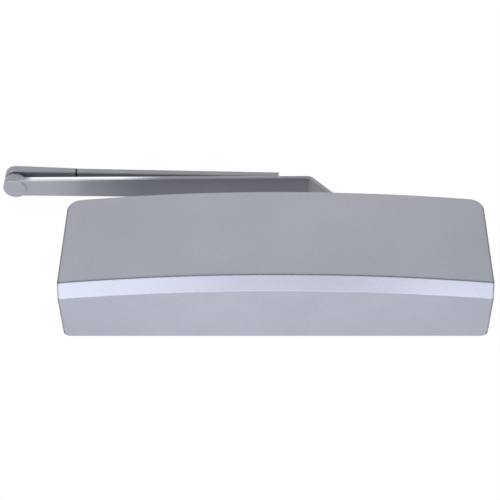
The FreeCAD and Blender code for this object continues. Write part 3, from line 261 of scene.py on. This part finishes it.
def turnedFinish(name, look, lathe):  # fine rings about the lathe's axis, in two tones
    material, tree, where = startFinish(name)
    centre = [-place * mm for place in lathe["centre"]]
    mapped = addNode(tree, "Mapping", {"Vector": where, "Location": centre}).outputs[0]
    split = addNode(tree, "SeparateXYZ", {0: mapped})
    across = [split.outputs[i] for i in range(3) if i != lathe["axis"]]
    flat = addNode(tree, "CombineXYZ", {0: across[0], 1: across[1]}).outputs[0]
    radius = addNode(tree, "VectorMath", {0: flat}, operation="LENGTH").outputs["Value"]
    ringed = addNode(tree, "CombineXYZ", {0: split.outputs[lathe["axis"]], 1: radius}).outputs[0]
    marks = addNode(tree, "TexNoise", {"Vector": ringed, "Scale": perMm(look["feed"]),
                                       "Detail": rings["detail"], "Roughness": rings["roughness"]}).outputs[0]
    low, high = look["roughness"]
    polish = addNode(tree, "MapRange", {"Value": marks, "From Min": noiseMiddle[0], "From Max": noiseMiddle[1],
                                        "To Min": low, "To Max": high}).outputs[0]
    cut = addNode(tree, "Bump", {"Height": marks, "Distance": look["depth"] * mm, "Strength": 1.0}).outputs[0]
    cloud = patches(tree, where, rings["cloud"], (0.0, 1.0), rings["cloudDetail"])
    closeFinish(tree, {"Base Color": twoTone(tree, cloud, look), "Metallic": 1.0, "Roughness": polish,
                       "Normal": cut})
    return material


# Turned mild steel, seen on the pieces about the barrel's axis: grey, with fine rings from the lathe tool
barrelSteel = turnedFinish("TurnedSteelAlongBarrel", turnedSteel, barrel)
# Ground steel on the pieces about the spindle's axis: the same rings the other way round
spindleSteel = turnedFinish("GroundSteelAboutSpindle", turnedSteel, spindle)
# Bright zinc plating: pale, a little blue, slightly cloudy
brightZinc = turnedFinish("BrightZincPlate", zincPlate, {"axis": 2, "centre": (0, 0, 0)})
# Sintered bronze: brown gold, matt from its pores
sinteredBronze = turnedFinish("SinteredBronze", bronzeBush, spindle)
# Oil-tempered spring wire: dark, brownish, with a soft shine
temperedWire = turnedFinish("OilTemperedSpringWire", springWire, barrel)


# Rubber and nylon

sealRubber = {"colour": "#1c1c1d", "light": "#29292b", "roughness": (0.57, 0.73), "grain": 0.5}
washerNylon = {"colour": "#202123", "light": "#2a2b2e", "roughness": (0.37, 0.53), "grain": 0.8}
moulded = {"cloud": 4, "cloudDetail": 3.0, "sheenPatch": 2, "depth": 0.01}  # the same for both, in mm


def mouldedFinish(name, look):  # near black, cloudy, with the mould's fine grain
    material, tree, where = startFinish(name)
    cloud = patches(tree, where, moulded["cloud"], (0.0, 1.0), moulded["cloudDetail"])
    closeFinish(tree, {"Base Color": twoTone(tree, cloud, look),
                       "Roughness": patches(tree, where, moulded["sheenPatch"], look["roughness"]),
                       "Normal": grain(tree, where, look["grain"], moulded["depth"])})
    return material


# Moulded nitrile rubber: near black and matt, with a faint grey bloom
nitrileRubber = mouldedFinish("MouldedNitrileRubber", sealRubber)
# Moulded nylon: black with a low, even shine
blackNylon = mouldedFinish("MouldedBlackNylon", washerNylon)

finishes = {
    "cover_paint": coverLacquer, "arm_paint": armPowder, "cast_body": castGrey, "machined_steel": barrelSteel,
    "spring_steel": temperedWire, "zinc_screw": brightZinc, "bearing_bronze": sinteredBronze,
    "seal_rubber": nitrileRubber, "bush_plastic": blackNylon,
}
ownFinish = {name: spindleSteel for name in ("spindle", "upper_cap", "lower_cap", "forearm_end_block")}
ownFinish.update({"main_arm": armPowderWithHighlight, "forearm_link": linkPowderWithShade})  # these differ from their slot's finish
for row in frame["record"]["subparts"]:
    shape = nodes[row["node"]]
    shape.data.materials.clear()
    shape.data.materials.append(ownFinish.get(row["node"], finishes[row["material_slot"]]))
print("materials set:", len(bpy.data.materials))


# Closing spring: a welded, smooth-shaded copy of the solid, in the closer's body, in place of the solid

springTravel = {"joint": "piston_slide", "stroke": 30.3, "weld": 0.001}  # mm, stroke at the joint's far limit


def closingSpring():
    wound = bmesh.new()
    wound.from_mesh(nodes["spring"].data)
    bmesh.ops.remove_doubles(wound, verts=wound.verts, dist=springTravel["weld"] * mm)
    for face in wound.faces:
        face.smooth = True
    mesh = bpy.data.meshes.new("closing_spring_coil")
    wound.to_mesh(mesh)
    wound.free()
    coil = bpy.data.objects.new("closing_spring_coil", mesh)
    bpy.context.scene.collection.objects.link(coil)
    mesh.materials.append(temperedWire)
    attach(coil, "closer")
    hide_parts("spring")
    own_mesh(coil)


closingSpring()
print("spring made")


# Studio

aim = Vector((-19.9, -30, 16.4)) * mm  # what the lamps and the camera point at
softboxes = {  # azimuth and elevation in degrees, distance and side in metres
    "leftUnder": {"place": (-42, -64), "distance": 1.2, "side": 0.5, "watts": 2.2, "tint": "#ebebff"},
    "leftLow": {"place": (-80, -45), "distance": 1.2, "side": 0.6, "watts": 4.4, "tint": "#fcfcff"},
    "rightUnder": {"place": (75, -65), "distance": 1.2, "side": 0.5, "watts": 2.7, "tint": "#ebebff"},
    "below": {"place": (180, -75), "distance": 1.1, "side": 0.6, "watts": 4.8, "tint": "#f9f9ff"},
    "frontHigh": {"place": (0, 42), "distance": 1.4, "side": 1.0, "watts": 1.0, "tint": "#ffffff"},
    "frontLeft": {"place": (-45, 15), "distance": 1.4, "side": 0.8, "watts": 3.1, "tint": "#ffffff"},
    "frontRight": {"place": (40, 15), "distance": 1.4, "side": 0.8, "watts": 1.8, "tint": "#ffffff"},
    "overhead": {"place": (180, 80), "distance": 2.2, "side": 2.5, "watts": 11.0, "tint": "#ffffff"},
    "back": {"place": (180, 8), "distance": 1.4, "side": 0.8, "watts": 2.5, "tint": "#ffffff"},
    "leftSide": {"place": (-105, 10), "distance": 1.4, "side": 0.8, "watts": 1.0, "tint": "#ffffff"},
    "rightSide": {"place": (105, 10), "distance": 1.4, "side": 0.8, "watts": 1.2, "tint": "#ffffff"},
    "backHigh": {"place": (165, 50), "distance": 1.4, "side": 1.0, "watts": 0.5, "tint": "#ffffff"},
}

for name, box in softboxes.items():
    lamp = bpy.data.lights.new(name, "AREA")
    lamp.shape = "SQUARE"
    lamp.size = box["side"]
    lamp.energy = box["watts"]
    lamp.color = fromHex(box["tint"])[:3]
    holder = bpy.data.objects.new(name, lamp)
    back = direction(*box["place"])
    holder.location = aim + back * box["distance"]
    holder.rotation_mode = "QUATERNION"
    holder.rotation_quaternion = (-back).to_track_quat("-Z", "Y")
    holder.visible_camera = False
    bpy.context.scene.collection.objects.link(holder)


def seenShare(tree):  # 1 where the camera, a mirror or glass sees the background, 0 where it lights the object
    rays = addNode(tree, "LightPath")
    seen = addNode(tree, "Math", {0: rays.outputs["Is Camera Ray"], 1: rays.outputs["Is Glossy Ray"]},
                   operation="ADD").outputs[0]
    return addNode(tree, "Math", {0: seen, 1: rays.outputs["Is Transmission Ray"]}, operation="ADD",
                   use_clamp=True).outputs[0]


sky = {"colour": "#ffffff", "onObject": 0.1, "seen": 1.0}  # strength as light on the object and as seen
world = bpy.data.worlds.new("PaleStudio")
bpy.context.scene.world = world
world.use_nodes = True
world.node_tree.nodes.clear()
strength = addNode(world.node_tree, "MapRange", {"Value": seenShare(world.node_tree),
                                                 "To Min": sky["onObject"], "To Max": sky["seen"]}).outputs[0]
backdrop = addNode(world.node_tree, "Background", {"Color": fromHex(sky["colour"]), "Strength": strength})
addNode(world.node_tree, "OutputWorld", {"Surface": backdrop.outputs[0]})

# Height, side and sweep in metres, cloud in mm. The paper glows a little more from the first to the second
# distance of sweep, so that it ends in white.
paper = {"height": -1.2, "side": 14.0, "colour": "#f1f1f0", "light": "#f5f5f4", "cloud": 400,
         "roughness": 0.9, "glow": "#ffffff", "sweep": (2.6, 6.5), "nearGlow": 0.48, "farGlow": 0.88}


def paperFinish():  # plain matt white paper, laid as a sweep
    material, tree, where = startFinish("MattPaperSweep")
    cloud = patches(tree, where, paper["cloud"], (0.0, 1.0))
    away = addNode(tree, "VectorMath", {0: where}, operation="LENGTH").outputs["Value"]
    start, end = paper["sweep"]
    glow = addNode(tree, "MapRange", {"Value": away, "From Min": start, "From Max": end,
                                      "To Min": paper["nearGlow"], "To Max": paper["farGlow"]},
                   interpolation_type="SMOOTHSTEP").outputs[0]
    seen = addNode(tree, "Math", {0: seenShare(tree), 1: glow}, operation="MULTIPLY").outputs[0]
    closeFinish(tree, {"Base Color": twoTone(tree, cloud, paper), "Roughness": paper["roughness"],
                       "Emission Color": fromHex(paper["glow"]), "Emission Strength": seen})
    return material


sheet = bmesh.new()
bmesh.ops.create_grid(sheet, x_segments=1, y_segments=1, size=paper["side"] / 2,
                      matrix=Matrix.Translation((0, 0, paper["height"])))
floorMesh = bpy.data.meshes.new("floor")
sheet.to_mesh(floorMesh)
sheet.free()
floor = bpy.data.objects.new("floor", floorMesh)
bpy.context.scene.collection.objects.link(floor)
floorMesh.materials.append(paperFinish())
print("studio ready")


# Camera

# Angles in degrees, distance and sensor in mm, near and far in metres
camera = {"azimuth": 1.507, "elevation": -42.157, "roll": 0.927, "distance": 1079.919,
          "focalInPixels": 1357.678, "pixels": 500, "sensor": 36.0, "near": 0.01, "far": 50}
back = direction(camera["azimuth"], camera["elevation"])
right = (-back).cross(Vector((0, 0, 1))).normalized()
up = right.cross(-back)
turn = math.radians(camera["roll"])
right, up = right * math.cos(turn) + up * math.sin(turn), up * math.cos(turn) - right * math.sin(turn)
cameraData = bpy.data.cameras.new("productCamera")
cameraData.sensor_width = camera["sensor"]
cameraData.lens = camera["focalInPixels"] / camera["pixels"] * camera["sensor"]
cameraData.clip_start, cameraData.clip_end = camera["near"], camera["far"]
eye = bpy.data.objects.new("productCamera", cameraData)
bpy.context.scene.collection.objects.link(eye)
spot = Matrix((right, up, back)).transposed().to_4x4()
spot.translation = aim + back * camera["distance"] * mm
eye.matrix_world = spot
bpy.context.scene.camera = eye
bpy.context.scene.view_settings.view_transform = "Standard"
print("camera set")
